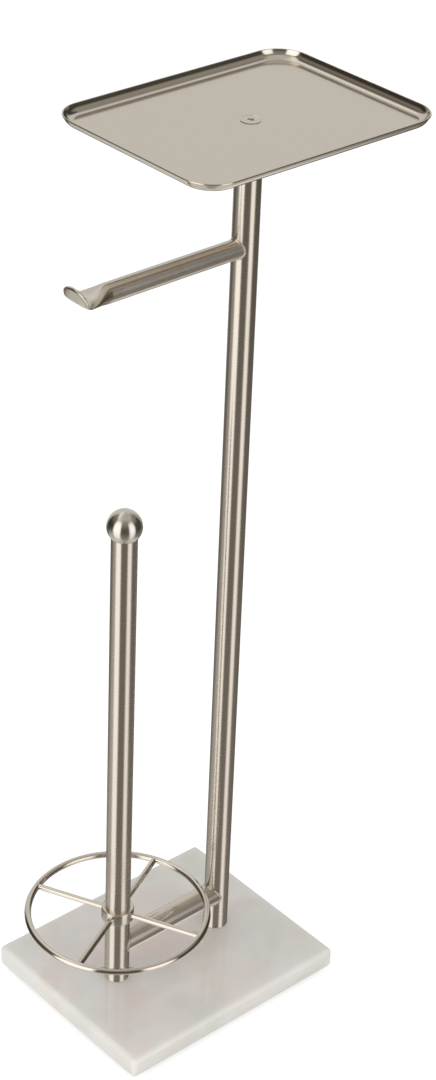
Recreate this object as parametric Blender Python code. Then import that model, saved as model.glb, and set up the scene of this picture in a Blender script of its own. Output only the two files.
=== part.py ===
"""Freestanding toilet paper holder with a marble base, a roll arm, a storage post and a shelf tray.

Metres, +Z up. The origin is on the floor, under the middle of the base. +X runs from the storage
post to the main pole. The roll arm reaches back from the pole along -X, above the storage post.
"""

import math

import bmesh
import bpy
from mathutils import Matrix

MM = 0.001

# Clearances shared by all pieces
FIT_GAP = 0.3 * MM
CUT_OVERRUN = 2 * MM

# Marble base and the non-slip pad under it
BASE_LENGTH = 179 * MM
BASE_DEPTH = 147.3 * MM
BASE_THICKNESS = 15.4 * MM
BASE_CORNER_RADIUS = 3 * MM
BASE_EDGE_ROUND = 2 * MM
PAD_THICKNESS = 2.2 * MM
PAD_INSET = 6 * MM
PAD_CORNER_RADIUS = 4 * MM

# The two upright tubes
TUBE_DIAMETER = 16.8 * MM
TUBE_WALL = 1.2 * MM
TUBE_SPACING = 89.4 * MM
POST_TOP_HEIGHT = 371.1 * MM

# Foot fastening: a socket bolt and washer in a recess under each tube, and a threaded insert
BOLT_DIAMETER = 6 * MM
BOLT_HEAD_DIAMETER = 10 * MM
BOLT_HEAD_HEIGHT = 4 * MM
BOLT_SOCKET_WIDTH = 5 * MM
BOLT_SOCKET_DEPTH = 2.4 * MM
BOLT_ENGAGEMENT = 11 * MM
WASHER_DIAMETER = 16 * MM
WASHER_THICKNESS = 1.2 * MM
RECESS_DIAMETER = 19 * MM
RECESS_DEPTH = 6.5 * MM
INSERT_LENGTH = 14 * MM
INSERT_CHAMFER = 0.8 * MM

# Roll arm: a round tube pressed flat at its end and turned up, set below the tray's rim by ARM_DROP
ARM_DROP = 85.7 * MM
ARM_DIAMETER = 12.7 * MM
ARM_WALL = 1 * MM
ARM_BEND_REACH = 125.3 * MM
ARM_PRESS_LENGTH = 20 * MM
TIP_WIDTH = 22.6 * MM
TIP_THICKNESS = 2.4 * MM
TIP_BEND_RADIUS = 2.6 * MM
TIP_ANGLE = math.radians(74.3)
TIP_LENGTH = 8.4 * MM
TIP_END_WIDTH = 2 * MM
TIP_END_THICKNESS = 1.6 * MM
TUBE_ROUNDNESS = 2
TIP_ROUNDNESS = 3
TIP_OUTLINE_ROUNDNESS = 2.5
ARM_STUD_DIAMETER = 6 * MM
ARM_STUD_REACH_IN = 4 * MM
ARM_STUD_REACH_OUT = 18 * MM
ARM_ANCHOR_LENGTH = 16 * MM

# Crossbar between the two tubes
CROSSBAR_HEIGHT = 45.4 * MM
CROSSBAR_DIAMETER = 15.9 * MM
CROSSBAR_WALL = 1 * MM

# Guard ring, its spokes and their hub on the storage post
RING_HEIGHT = 74.3 * MM
RING_RADIUS = 60.5 * MM
RING_WIRE_DIAMETER = 4.5 * MM
SPOKE_DIAMETER = 4 * MM
SPOKE_COUNT = 4
SPOKE_START_ANGLE = math.radians(26)
HUB_DIAMETER = 22 * MM
HUB_LENGTH = 9 * MM
HUB_CHAMFER = 0.8 * MM

# Ball finial
BALL_DIAMETER = 22.6 * MM
FINIAL_STUD_DIAMETER = 5 * MM
FINIAL_STUD_LENGTH = 18 * MM
STUD_CHAMFER = 0.6 * MM

# Shelf tray, pressed from sheet, with a flared wall and a hemmed rim. Its middle lies TRAY_SHIFT from
# the pole's axis, towards the storage post.
TRAY_LENGTH = 183.6 * MM
TRAY_DEPTH = 141.5 * MM
TRAY_SHIFT = 2.4 * MM
TRAY_CORNER_RADIUS = 20.4 * MM
TRAY_RIM_HEIGHT = 627.1 * MM
TRAY_SHEET = 1.2 * MM
TRAY_WALL_RISE = 5.1 * MM
TRAY_WALL_ANGLE = math.radians(52)
TRAY_FLOOR_FILLET = 3 * MM
TRAY_LIP_FILLET = 1.5 * MM
TRAY_LIP_WIDTH = 0.5 * MM
TRAY_BEAD_RADIUS = 0.8 * MM

# Flange and countersunk screw under the tray
FLANGE_DIAMETER = 38 * MM
FLANGE_THICKNESS = 3 * MM
FLANGE_CHAMFER = 0.8 * MM
TRAY_SCREW_DIAMETER = 6 * MM
TRAY_SCREW_HEAD_DIAMETER = 12 * MM
TRAY_SCREW_ENGAGEMENT = 10 * MM
TRAY_SCREW_SOCKET_WIDTH = 4 * MM
TRAY_SCREW_SOCKET_DEPTH = 1.8 * MM

# Facet counts
TUBE_SEGMENTS = 40
SMALL_SEGMENTS = 24
ARM_SEGMENTS = 32
RING_SEGMENTS = 64
WIRE_SEGMENTS = 12
BALL_STEPS = 18
CORNER_STEPS = 7
FILLET_STEPS = 4
ARM_PRESS_STEPS = 10
ARM_BEND_STEPS = 5
TIP_STEPS = 7
SMOOTH_ANGLE = math.radians(35)

# Places worked out from the sizes above
BASE_UNDERSIDE = PAD_THICKNESS + FIT_GAP
BASE_TOP = BASE_UNDERSIDE + BASE_THICKNESS
TUBE_RADIUS = TUBE_DIAMETER / 2
TUBE_BORE_RADIUS = TUBE_RADIUS - TUBE_WALL
TUBE_FOOT = BASE_TOP + FIT_GAP
POST_X = -TUBE_SPACING / 2
POLE_X = TUBE_SPACING / 2
INSERT_RADIUS = TUBE_BORE_RADIUS - FIT_GAP
BOLT_HOLE_RADIUS = BOLT_DIAMETER / 2 + FIT_GAP
TRAY_FLOOR_TOP = TRAY_RIM_HEIGHT - TRAY_BEAD_RADIUS - TRAY_WALL_RISE + TRAY_SHEET / 2
TRAY_UNDERSIDE = TRAY_FLOOR_TOP - TRAY_SHEET
FLANGE_TOP = TRAY_UNDERSIDE - FIT_GAP
FLANGE_UNDERSIDE = FLANGE_TOP - FLANGE_THICKNESS
POLE_TOP_HEIGHT = FLANGE_UNDERSIDE - FIT_GAP
ARM_HEIGHT = TRAY_RIM_HEIGHT - ARM_DROP
ARM_BORE_RADIUS = ARM_DIAMETER / 2 - ARM_WALL
ARM_ROOT_REACH = TUBE_RADIUS + FIT_GAP

# Metal, stone and rubber finishes
NICKEL = ((0.62, 0.58, 0.52, 1.0), 0.32, 1.0)
ZINC_STEEL = ((0.56, 0.57, 0.58, 1.0), 0.42, 1.0)
MARBLE = ((0.83, 0.82, 0.80, 1.0), 0.18, 0.0)
RUBBER = ((0.07, 0.07, 0.075, 1.0), 0.85, 0.0)


def clear_scene():
    for item in list(bpy.data.objects):
        bpy.data.objects.remove(item, do_unlink=True)


def material_for(name, finish):
    colour, roughness, metallic = finish
    material = bpy.data.materials.new(name + "_finish")
    material.use_nodes = True
    shader = material.node_tree.nodes["Principled BSDF"]
    shader.inputs["Base Color"].default_value = colour
    shader.inputs["Roughness"].default_value = roughness
    shader.inputs["Metallic"].default_value = metallic
    material.diffuse_color = colour
    return material


def add_object(name, rings, caps, finish=None, matrix=None):
    """A closed body lofted through rings of points; caps is False where the last ring meets the first."""
    work = bmesh.new()
    rows = [[work.verts.new(point) for point in ring] for ring in rings]
    pairs = list(zip(rows, rows[1:]))
    if not caps:
        pairs.append((rows[-1], rows[0]))
    for low, high in pairs:
        skin(work, low, high)
    if caps:
        for row in (rows[0], rows[-1]):
            if len(row) > 1:
                work.faces.new(row)
    bmesh.ops.recalc_face_normals(work, faces=work.faces)
    mesh = bpy.data.meshes.new(name)
    work.to_mesh(mesh)
    work.free()
    mesh.shade_smooth()
    mesh.set_sharp_from_angle(angle=SMOOTH_ANGLE)
    item = bpy.data.objects.new(name, mesh)
    item.matrix_world = matrix or Matrix.Identity(4)
    bpy.context.scene.collection.objects.link(item)
    if finish is not None:
        mesh.materials.append(material_for(name, finish))
    return item


def skin(work, low, high):
    """Faces between two rings; a ring of one point closes the body in a fan."""
    count = max(len(low), len(high))
    for i in range(count):
        j = (i + 1) % count
        if len(low) == 1:
            work.faces.new((low[0], high[i], high[j]))
        elif len(high) == 1:
            work.faces.new((low[i], low[j], high[0]))
        else:
            work.faces.new((low[i], low[j], high[j], high[i]))


def circle(radius, height, segments):
    if radius == 0:
        return [(0, 0, height)]
    turns = [2 * math.pi * i / segments for i in range(segments)]
    return [(radius * math.cos(turn), radius * math.sin(turn), height) for turn in turns]


def turned(name, profile, finish, segments=TUBE_SEGMENTS, hollow=False, matrix=None):
    """A body turned about Z from (radius, height) points; a hollow one has a bore right through."""
    rings = [circle(radius, height, segments) for radius, height in profile]
    return add_object(name, rings, not hollow, finish, matrix)


def rod_profile(radius, low, high, chamfer=0.0):
    if chamfer == 0:
        return [(radius, low), (radius, high)]
    return [(radius - chamfer, low), (radius, low + chamfer),
            (radius, high - chamfer), (radius - chamfer, high)]


def sleeve_profile(radius, bore, low, high, chamfer=0.0):
    return [(bore, low)] + rod_profile(radius, low, high, chamfer) + [(bore, high)]


def at(x):
    return Matrix.Translation((x, 0, 0))


def along_x(x, z):
    """Turns a body that was made about Z to lie about a line along +X."""
    return Matrix.Translation((x, 0, z)) @ Matrix.Rotation(math.pi / 2, 4, "Y")


def cut(item, cutter):
    """Takes a hidden guide body away from an object."""
    cutter.hide_render = True
    cutter.display_type = "WIRE"
    modifier = item.modifiers.new(cutter.name, "BOOLEAN")
    modifier.operation = "DIFFERENCE"
    modifier.solver = "EXACT"
    modifier.object = cutter


def rod_cutter(name, radius, low, high, matrix, segments=SMALL_SEGMENTS):
    return turned(name, rod_profile(radius, low, high), None, segments, matrix=matrix)


def hex_cutter(name, width, low, high, matrix):
    corner = width / 2 / math.cos(math.pi / 6)
    return turned(name, rod_profile(corner, low, high), None, 6, matrix=matrix)


def rounded_rectangle(length, depth, radius, height):
    """Points of a rounded rectangle about the Z axis, counter-clockwise from the +X side."""
    points = []
    for corner in range(4):
        centre_x = (length / 2 - radius) * (1 if corner in (0, 3) else -1)
        centre_y = (depth / 2 - radius) * (1 if corner in (0, 1) else -1)
        for step in range(CORNER_STEPS + 1):
            turn = math.pi / 2 * (corner + step / CORNER_STEPS)
            points.append((centre_x + radius * math.cos(turn), centre_y + radius * math.sin(turn), height))
    return points


def matching_circle(radius, height):
    """A circle with as many points as rounded_rectangle gives, for lofts between the two."""
    count = 4 * (CORNER_STEPS + 1)
    turns = [2 * math.pi * (i + 0.5) / count for i in range(count)]
    return [(radius * math.cos(turn), radius * math.sin(turn), height) for turn in turns]


def make_base_pad():
    length = BASE_LENGTH - 2 * PAD_INSET
    depth = BASE_DEPTH - 2 * PAD_INSET
    rings = [rounded_rectangle(length, depth, PAD_CORNER_RADIUS, height) for height in (0, PAD_THICKNESS)]
    pad = add_object("base_pad", rings, True, RUBBER)
    for name, x in (("pole", POLE_X), ("post", POST_X)):
        hole = rod_cutter(f"pad_hole_{name}", RECESS_DIAMETER / 2 + FIT_GAP, -CUT_OVERRUN,
                          PAD_THICKNESS + CUT_OVERRUN, at(x), TUBE_SEGMENTS)
        cut(pad, hole)


def make_base_slab():
    """The slab has eased edges, and under each tube a recess and a bolt hole."""
    rings = []
    turns = [math.pi / 2 * step / FILLET_STEPS for step in range(FILLET_STEPS + 1)]
    eased = [(math.sin(turn), math.cos(turn)) for turn in turns]
    bottom = [(1 - out, BASE_UNDERSIDE + BASE_EDGE_ROUND * (1 - up)) for out, up in eased]
    top = [(1 - out, BASE_TOP - BASE_EDGE_ROUND * (1 - up)) for out, up in reversed(eased)]
    for inset_share, height in bottom + top:
        inset = BASE_EDGE_ROUND * inset_share
        rings.append(rounded_rectangle(BASE_LENGTH - 2 * inset, BASE_DEPTH - 2 * inset,
                                       BASE_CORNER_RADIUS - inset, height))
    slab = add_object("base_slab", rings, True, MARBLE)
    for name, x in (("pole", POLE_X), ("post", POST_X)):
        recess = rod_cutter(f"recess_{name}", RECESS_DIAMETER / 2, BASE_UNDERSIDE - CUT_OVERRUN,
                            BASE_UNDERSIDE + RECESS_DEPTH, at(x), TUBE_SEGMENTS)
        hole = rod_cutter(f"bolt_hole_{name}", BOLT_HOLE_RADIUS, BASE_UNDERSIDE,
                          BASE_TOP + CUT_OVERRUN, at(x))
        cut(slab, recess)
        cut(slab, hole)


def make_foot_hardware(name, x):
    """Washer, socket bolt and threaded insert that hold one tube on the slab."""
    ceiling = BASE_UNDERSIDE + RECESS_DEPTH
    washer_top = ceiling - FIT_GAP
    washer_low = washer_top - WASHER_THICKNESS
    turned(f"{name}_foot_washer",
           sleeve_profile(WASHER_DIAMETER / 2, BOLT_HOLE_RADIUS, washer_low, washer_top),
           ZINC_STEEL, SMALL_SEGMENTS, hollow=True, matrix=at(x))
    head_top = washer_low - FIT_GAP
    head_low = head_top - BOLT_HEAD_HEIGHT
    tip = BASE_TOP + BOLT_ENGAGEMENT
    head_radius = BOLT_HEAD_DIAMETER / 2
    shank_radius = BOLT_DIAMETER / 2
    profile = [(head_radius - STUD_CHAMFER, head_low), (head_radius, head_low + STUD_CHAMFER),
               (head_radius, head_top), (shank_radius, head_top), (shank_radius, tip - STUD_CHAMFER),
               (shank_radius - STUD_CHAMFER, tip)]
    bolt = turned(f"{name}_foot_bolt", profile, ZINC_STEEL, SMALL_SEGMENTS, matrix=at(x))
    cut(bolt, hex_cutter(f"{name}_bolt_socket", BOLT_SOCKET_WIDTH, head_low - CUT_OVERRUN,
                         head_low + BOLT_SOCKET_DEPTH, at(x)))
    turned(f"{name}_foot_insert",
           sleeve_profile(INSERT_RADIUS, BOLT_HOLE_RADIUS, TUBE_FOOT, TUBE_FOOT + INSERT_LENGTH,
                          INSERT_CHAMFER),
           ZINC_STEEL, SMALL_SEGMENTS, hollow=True, matrix=at(x))


def make_top_insert(name, x, top, hole_radius):
    turned(f"{name}_top_insert",
           sleeve_profile(INSERT_RADIUS, hole_radius, top - INSERT_LENGTH, top, INSERT_CHAMFER),
           ZINC_STEEL, SMALL_SEGMENTS, hollow=True, matrix=at(x))


def make_main_pole():
    pole = turned("main_pole", sleeve_profile(TUBE_RADIUS, TUBE_BORE_RADIUS, TUBE_FOOT, POLE_TOP_HEIGHT),
                  NICKEL, hollow=True, matrix=at(POLE_X))
    hole = rod_cutter("pole_side_hole", ARM_STUD_DIAMETER / 2 + FIT_GAP, -TUBE_RADIUS - CUT_OVERRUN, 0,
                      along_x(POLE_X, ARM_HEIGHT))
    cut(pole, hole)


def make_storage_post():
    turned("storage_post", sleeve_profile(TUBE_RADIUS, TUBE_BORE_RADIUS, TUBE_FOOT, POST_TOP_HEIGHT),
           NICKEL, hollow=True, matrix=at(POST_X))


def make_finial():
    """The ball sits on the tube's end by a flat as wide as the tube, and a stud holds it."""
    ball_radius = BALL_DIAMETER / 2
    seat = POST_TOP_HEIGHT + FIT_GAP
    seat_turn = math.asin(TUBE_RADIUS / ball_radius)
    centre = seat + ball_radius * math.cos(seat_turn)
    hole_radius = FINIAL_STUD_DIAMETER / 2 + FIT_GAP
    stud_top = seat + FINIAL_STUD_LENGTH / 2
    profile = [(0, stud_top + FIT_GAP), (hole_radius, stud_top + FIT_GAP), (hole_radius, seat)]
    for step in range(BALL_STEPS):
        turn = seat_turn + (math.pi - seat_turn) * step / BALL_STEPS
        profile.append((ball_radius * math.sin(turn), centre - ball_radius * math.cos(turn)))
    profile.append((0, centre + ball_radius))
    turned("finial_ball", profile, NICKEL, matrix=at(POST_X))
    turned("finial_stud",
           rod_profile(FINIAL_STUD_DIAMETER / 2, stud_top - FINIAL_STUD_LENGTH, stud_top, STUD_CHAMFER),
           ZINC_STEEL, SMALL_SEGMENTS, matrix=at(POST_X))


def make_guard_ring():
    wire_radius = RING_WIRE_DIAMETER / 2
    wire = circle(wire_radius, 0, WIRE_SEGMENTS)
    profile = [(RING_RADIUS + out, RING_HEIGHT + up) for out, up, _ in wire]
    turned("guard_ring", profile, NICKEL, RING_SEGMENTS, hollow=True, matrix=at(POST_X))


def make_ring_hub():
    half = HUB_LENGTH / 2
    turned("ring_hub",
           sleeve_profile(HUB_DIAMETER / 2, TUBE_RADIUS + FIT_GAP, RING_HEIGHT - half, RING_HEIGHT + half,
                          HUB_CHAMFER),
           NICKEL, hollow=True, matrix=at(POST_X))


def make_ring_spokes():
    inner = HUB_DIAMETER / 2 + FIT_GAP
    outer = RING_RADIUS - RING_WIRE_DIAMETER / 2 - FIT_GAP
    for number in range(SPOKE_COUNT):
        turn = SPOKE_START_ANGLE + 2 * math.pi * number / SPOKE_COUNT
        place = Matrix.Rotation(turn, 4, "Z")
        turned(f"ring_spoke_{number + 1}", rod_profile(SPOKE_DIAMETER / 2, inner, outer), NICKEL,
               WIRE_SEGMENTS, matrix=at(POST_X) @ place @ along_x(0, RING_HEIGHT))


def tube_cutter(name, x, height, reach):
    """A guide as wide as an upright tube plus its clearance, for the saddle ends of side tubes."""
    return rod_cutter(name, TUBE_RADIUS + FIT_GAP, height - reach, height + reach, at(x), TUBE_SEGMENTS)


def make_crossbar():
    radius = CROSSBAR_DIAMETER / 2
    bar = turned("crossbar", sleeve_profile(radius, radius - CROSSBAR_WALL, POST_X, POLE_X), NICKEL,
                 ARM_SEGMENTS, hollow=True, matrix=along_x(0, CROSSBAR_HEIGHT))
    for name, x in (("pole", POLE_X), ("post", POST_X)):
        cut(bar, tube_cutter(f"crossbar_saddle_{name}", x, CROSSBAR_HEIGHT, CROSSBAR_DIAMETER))


def arm_ring(reach, rise, turn, half_width, half_thickness, roundness):
    """One section of the arm: a super-ellipse square to the arm's line, which rises by turn."""
    points = []
    for i in range(ARM_SEGMENTS):
        angle = 2 * math.pi * (i + 0.5) / ARM_SEGMENTS
        across = math.copysign(abs(math.cos(angle)) ** (2 / roundness), math.cos(angle)) * half_width
        up = math.copysign(abs(math.sin(angle)) ** (2 / roundness), math.sin(angle)) * half_thickness
        points.append((POLE_X - reach + up * math.sin(turn), across, ARM_HEIGHT + rise + up * math.cos(turn)))
    return points


def blend(start, end, share):
    return start + (end - start) * share


def arm_sections():
    """Sections from the root to the end: round tube, pressed flat along its axis, bent up, rounded off."""
    tube_half = ARM_DIAMETER / 2
    flat_half = TIP_THICKNESS / 2
    press_start = ARM_BEND_REACH - ARM_PRESS_LENGTH
    sections = [arm_ring(0, 0, 0, tube_half, tube_half, TUBE_ROUNDNESS)]
    for step in range(ARM_PRESS_STEPS + 1):
        share = step / ARM_PRESS_STEPS
        ease = share * share * (3 - 2 * share)
        sections.append(arm_ring(blend(press_start, ARM_BEND_REACH, share), 0, 0,
                                 blend(tube_half, TIP_WIDTH / 2, ease), blend(tube_half, flat_half, ease),
                                 blend(TUBE_ROUNDNESS, TIP_ROUNDNESS, ease)))
    for step in range(1, ARM_BEND_STEPS + 1):
        turn = TIP_ANGLE * step / ARM_BEND_STEPS
        sections.append(arm_ring(ARM_BEND_REACH + TIP_BEND_RADIUS * math.sin(turn),
                                 TIP_BEND_RADIUS * (1 - math.cos(turn)), turn,
                                 TIP_WIDTH / 2, flat_half, TIP_ROUNDNESS))
    bend_end = ARM_BEND_REACH + TIP_BEND_RADIUS * math.sin(TIP_ANGLE)
    bend_top = TIP_BEND_RADIUS * (1 - math.cos(TIP_ANGLE))
    for step in range(1, TIP_STEPS + 1):
        share = math.sin(math.pi / 2 * step / TIP_STEPS)
        width_share = max(1 - share ** TIP_OUTLINE_ROUNDNESS, 0) ** 0.5
        half_width = max(TIP_WIDTH / 2 * width_share, TIP_END_WIDTH / 2)
        half_thickness = TIP_END_THICKNESS / 2 if step == TIP_STEPS else flat_half
        sections.append(arm_ring(bend_end + TIP_LENGTH * share * math.cos(TIP_ANGLE),
                                 bend_top + TIP_LENGTH * share * math.sin(TIP_ANGLE),
                                 TIP_ANGLE, half_width, half_thickness, TIP_ROUNDNESS))
    return sections


def make_roll_arm():
    arm = add_object("roll_arm", arm_sections(), True, NICKEL)
    bore_end = ARM_BEND_REACH - ARM_PRESS_LENGTH
    bore = rod_cutter("arm_bore", ARM_BORE_RADIUS, -bore_end, CUT_OVERRUN, along_x(POLE_X, ARM_HEIGHT),
                      ARM_SEGMENTS)
    cut(arm, bore)
    cut(arm, tube_cutter("arm_saddle", POLE_X, ARM_HEIGHT, ARM_DIAMETER))


def make_arm_hardware():
    """A stud joins an insert in the arm's root to an anchor plug inside the pole."""
    hole_radius = ARM_STUD_DIAMETER / 2 + FIT_GAP
    turned("arm_insert",
           sleeve_profile(ARM_BORE_RADIUS - FIT_GAP, hole_radius, -ARM_ROOT_REACH - INSERT_LENGTH,
                          -ARM_ROOT_REACH, INSERT_CHAMFER),
           ZINC_STEEL, SMALL_SEGMENTS, hollow=True, matrix=along_x(POLE_X, ARM_HEIGHT))
    turned("arm_stud",
           rod_profile(ARM_STUD_DIAMETER / 2, -ARM_STUD_REACH_OUT, ARM_STUD_REACH_IN, STUD_CHAMFER),
           ZINC_STEEL, SMALL_SEGMENTS, matrix=along_x(POLE_X, ARM_HEIGHT))
    half = ARM_ANCHOR_LENGTH / 2
    anchor = turned("pole_arm_anchor",
                    rod_profile(INSERT_RADIUS, ARM_HEIGHT - half, ARM_HEIGHT + half, INSERT_CHAMFER),
                    ZINC_STEEL, SMALL_SEGMENTS, matrix=at(POLE_X))
    cut(anchor, rod_cutter("anchor_hole", hole_radius, -TUBE_RADIUS, ARM_STUD_REACH_IN + FIT_GAP,
                           along_x(POLE_X, ARM_HEIGHT)))


def screw_clearance_radius(height):
    """Radius of the countersunk hole round the tray screw at a height."""
    cone = TRAY_SCREW_HEAD_DIAMETER / 2 - (TRAY_FLOOR_TOP - height)
    return max(cone, TRAY_SCREW_DIAMETER / 2) + FIT_GAP


def tray_profile():
    """Mid-line of the pressed sheet from the floor's edge outward: (run, rise, slope) of each point."""
    line = []
    for step in range(FILLET_STEPS + 1):
        slope = TRAY_WALL_ANGLE * step / FILLET_STEPS
        line.append((TRAY_FLOOR_FILLET * math.sin(slope), TRAY_FLOOR_FILLET * (1 - math.cos(slope)), slope))
    run, rise, _ = line[-1]
    lip_rise = TRAY_LIP_FILLET * (1 - math.cos(TRAY_WALL_ANGLE))
    straight = (TRAY_WALL_RISE - rise - lip_rise) / math.sin(TRAY_WALL_ANGLE)
    run += straight * math.cos(TRAY_WALL_ANGLE)
    rise += straight * math.sin(TRAY_WALL_ANGLE)
    for step in range(FILLET_STEPS + 1):
        slope = TRAY_WALL_ANGLE * (1 - step / FILLET_STEPS)
        out = run + TRAY_LIP_FILLET * (math.sin(TRAY_WALL_ANGLE) - math.sin(slope))
        up = rise + TRAY_LIP_FILLET * (math.cos(slope) - math.cos(TRAY_WALL_ANGLE))
        line.append((out, up, slope))
    return line


def make_shelf_tray():
    line = tray_profile()
    half_sheet = TRAY_SHEET / 2
    bead_run = line[-1][0] + TRAY_LIP_WIDTH
    total_run = bead_run + TRAY_BEAD_RADIUS
    floor_mid = TRAY_FLOOR_TOP - half_sheet
    underside = [(run + half_sheet * math.sin(slope), rise - half_sheet * math.cos(slope))
                 for run, rise, slope in line]
    top_side = [(run - half_sheet * math.sin(slope), rise + half_sheet * math.cos(slope))
                for run, rise, slope in line]
    neck = math.asin(half_sheet / TRAY_BEAD_RADIUS)
    bead_steps = 2 * FILLET_STEPS
    bead = []
    for step in range(bead_steps + 1):
        turn = -math.pi + neck + 2 * (math.pi - neck) * step / bead_steps
        bead.append((bead_run + TRAY_BEAD_RADIUS * math.cos(turn),
                     TRAY_WALL_RISE + TRAY_BEAD_RADIUS * math.sin(turn)))
    rings = [matching_circle(screw_clearance_radius(TRAY_UNDERSIDE), TRAY_UNDERSIDE)]
    for run, rise in underside + bead + list(reversed(top_side)):
        inset = total_run - run
        outline = rounded_rectangle(TRAY_LENGTH - 2 * inset, TRAY_DEPTH - 2 * inset,
                                    TRAY_CORNER_RADIUS - inset, floor_mid + rise)
        rings.append([(x - TRAY_SHIFT, y, height) for x, y, height in outline])
    rings.append(matching_circle(screw_clearance_radius(TRAY_FLOOR_TOP), TRAY_FLOOR_TOP))
    add_object("shelf_tray", rings, False, NICKEL, at(POLE_X))


def make_tray_flange():
    cone_foot = TRAY_FLOOR_TOP - (TRAY_SCREW_HEAD_DIAMETER - TRAY_SCREW_DIAMETER) / 2
    outside = rod_profile(FLANGE_DIAMETER / 2, FLANGE_UNDERSIDE, FLANGE_TOP, FLANGE_CHAMFER)
    bore = [(screw_clearance_radius(FLANGE_TOP), FLANGE_TOP), (screw_clearance_radius(cone_foot), cone_foot)]
    profile = [(screw_clearance_radius(FLANGE_UNDERSIDE), FLANGE_UNDERSIDE)] + outside + bore
    turned("tray_flange", profile, NICKEL, hollow=True, matrix=at(POLE_X))


def make_tray_screw():
    head_radius = TRAY_SCREW_HEAD_DIAMETER / 2
    shank_radius = TRAY_SCREW_DIAMETER / 2
    tip = POLE_TOP_HEIGHT - TRAY_SCREW_ENGAGEMENT
    profile = [(shank_radius - STUD_CHAMFER, tip), (shank_radius, tip + STUD_CHAMFER),
               (shank_radius, TRAY_FLOOR_TOP - head_radius + shank_radius), (head_radius, TRAY_FLOOR_TOP)]
    screw = turned("tray_screw", profile, NICKEL, SMALL_SEGMENTS, matrix=at(POLE_X))
    cut(screw, hex_cutter("tray_screw_socket", TRAY_SCREW_SOCKET_WIDTH,
                          TRAY_FLOOR_TOP - TRAY_SCREW_SOCKET_DEPTH, TRAY_FLOOR_TOP + CUT_OVERRUN, at(POLE_X)))


def main():
    clear_scene()
    make_base_pad()
    make_base_slab()
    make_foot_hardware("pole", POLE_X)
    make_foot_hardware("post", POST_X)
    make_main_pole()
    make_storage_post()
    make_top_insert("pole", POLE_X, POLE_TOP_HEIGHT, TRAY_SCREW_DIAMETER / 2 + FIT_GAP)
    make_top_insert("post", POST_X, POST_TOP_HEIGHT, FINIAL_STUD_DIAMETER / 2 + FIT_GAP)
    make_finial()
    make_crossbar()
    make_ring_hub()
    make_ring_spokes()
    make_guard_ring()
    make_roll_arm()
    make_arm_hardware()
    make_shelf_tray()
    make_tray_flange()
    make_tray_screw()


main()
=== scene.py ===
"""Looks of the freestanding toilet paper holder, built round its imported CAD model.

Metres, +Z up, the CAD frame: +X runs from the storage post to the main pole.
"""

import math

import bmesh
import bpy
from mathutils import Matrix, Vector


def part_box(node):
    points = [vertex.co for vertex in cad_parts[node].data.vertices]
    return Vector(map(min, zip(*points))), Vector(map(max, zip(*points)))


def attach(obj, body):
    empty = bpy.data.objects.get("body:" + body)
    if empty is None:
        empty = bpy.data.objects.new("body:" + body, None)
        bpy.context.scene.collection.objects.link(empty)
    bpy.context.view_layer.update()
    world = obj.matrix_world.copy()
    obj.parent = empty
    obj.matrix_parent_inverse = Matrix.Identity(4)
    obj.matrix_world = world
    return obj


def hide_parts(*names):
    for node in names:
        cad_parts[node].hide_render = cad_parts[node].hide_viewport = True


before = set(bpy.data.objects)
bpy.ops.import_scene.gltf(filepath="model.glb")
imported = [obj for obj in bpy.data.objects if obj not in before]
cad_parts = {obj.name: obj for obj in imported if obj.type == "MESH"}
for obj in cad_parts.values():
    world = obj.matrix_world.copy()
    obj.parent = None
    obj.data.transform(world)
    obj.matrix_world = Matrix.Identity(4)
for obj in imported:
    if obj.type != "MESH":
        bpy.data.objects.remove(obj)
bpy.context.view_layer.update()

MM = 0.001
UP = (0, 0, 1)
ALONG = (1, 0, 0)
SMOOTH_ANGLE = 40

# Camera, from a fit of the model's edges to the photograph
PHOTO_HEIGHT = 1080
CAMERA_PLACE = Vector((-875.39, -1000.18, 1175.38)) * MM
CAMERA_PAN = math.radians(47.913)
CAMERA_TILT = math.radians(-31.364)
CAMERA_ROLL = math.radians(2.271)
FOCAL_PIXELS = 2495.39
SENSOR = 36
SHIFT = (0.0045, -0.0160)

# Upright tubes
TUBE_WALL = 1.2 * MM
TUBE_EDGE = 0.25 * MM
TUBE_SIDES = 128

# Ball: it sits lower on the post than a ball whose flat is only as wide as the tube
BALL_SINK = 0.6 * MM
BALL_SIDES = 96
BALL_STEPS = 40
BALL_TOP_GAP = 0.02

# Ring, its hub and its spokes
RING_POINTS = 240
RING_WIRE_SIDES = 24
HUB_CHAMFER = 0.8 * MM
HUB_CHAMFER_STEPS = 6
SPOKE_SIDES = 32
SPOKE_COUNT = 4
SPOKE_SINK_IN_HUB = 0.3 * MM
SPOKE_SINK_IN_WIRE = 0.4

# Crossbar
CROSSBAR_SIDES = 96
CROSSBAR_STEPS = 12

# Roll arm
ARM_RADIUS = 6.35 * MM
ARM_BEND_REACH = 125.3 * MM
ARM_PRESS_LENGTH = 20 * MM
ARM_SIDES = 96
ARM_STRAIGHT_STEPS = 8
ARM_PRESS_STEPS = 24
ARM_BEND_STEPS = 12
TIP_WIDTH = 22.6 * MM
TIP_THICKNESS = 2.4 * MM
TIP_BEND_RADIUS = 2.6 * MM
TIP_ANGLE = math.radians(74.3)
TIP_LENGTH = 8.4 * MM
TIP_EDGE_ROUND = 1 * MM
TIP_STEPS = 24
TIP_END_HALF_WIDTH = 0.6 * MM
TIP_END_THINNEST = 0.25
TUBE_ROUNDNESS = 2
TIP_ROUNDNESS = 3
TIP_OUTLINE_ROUNDNESS = 2.5

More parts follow.
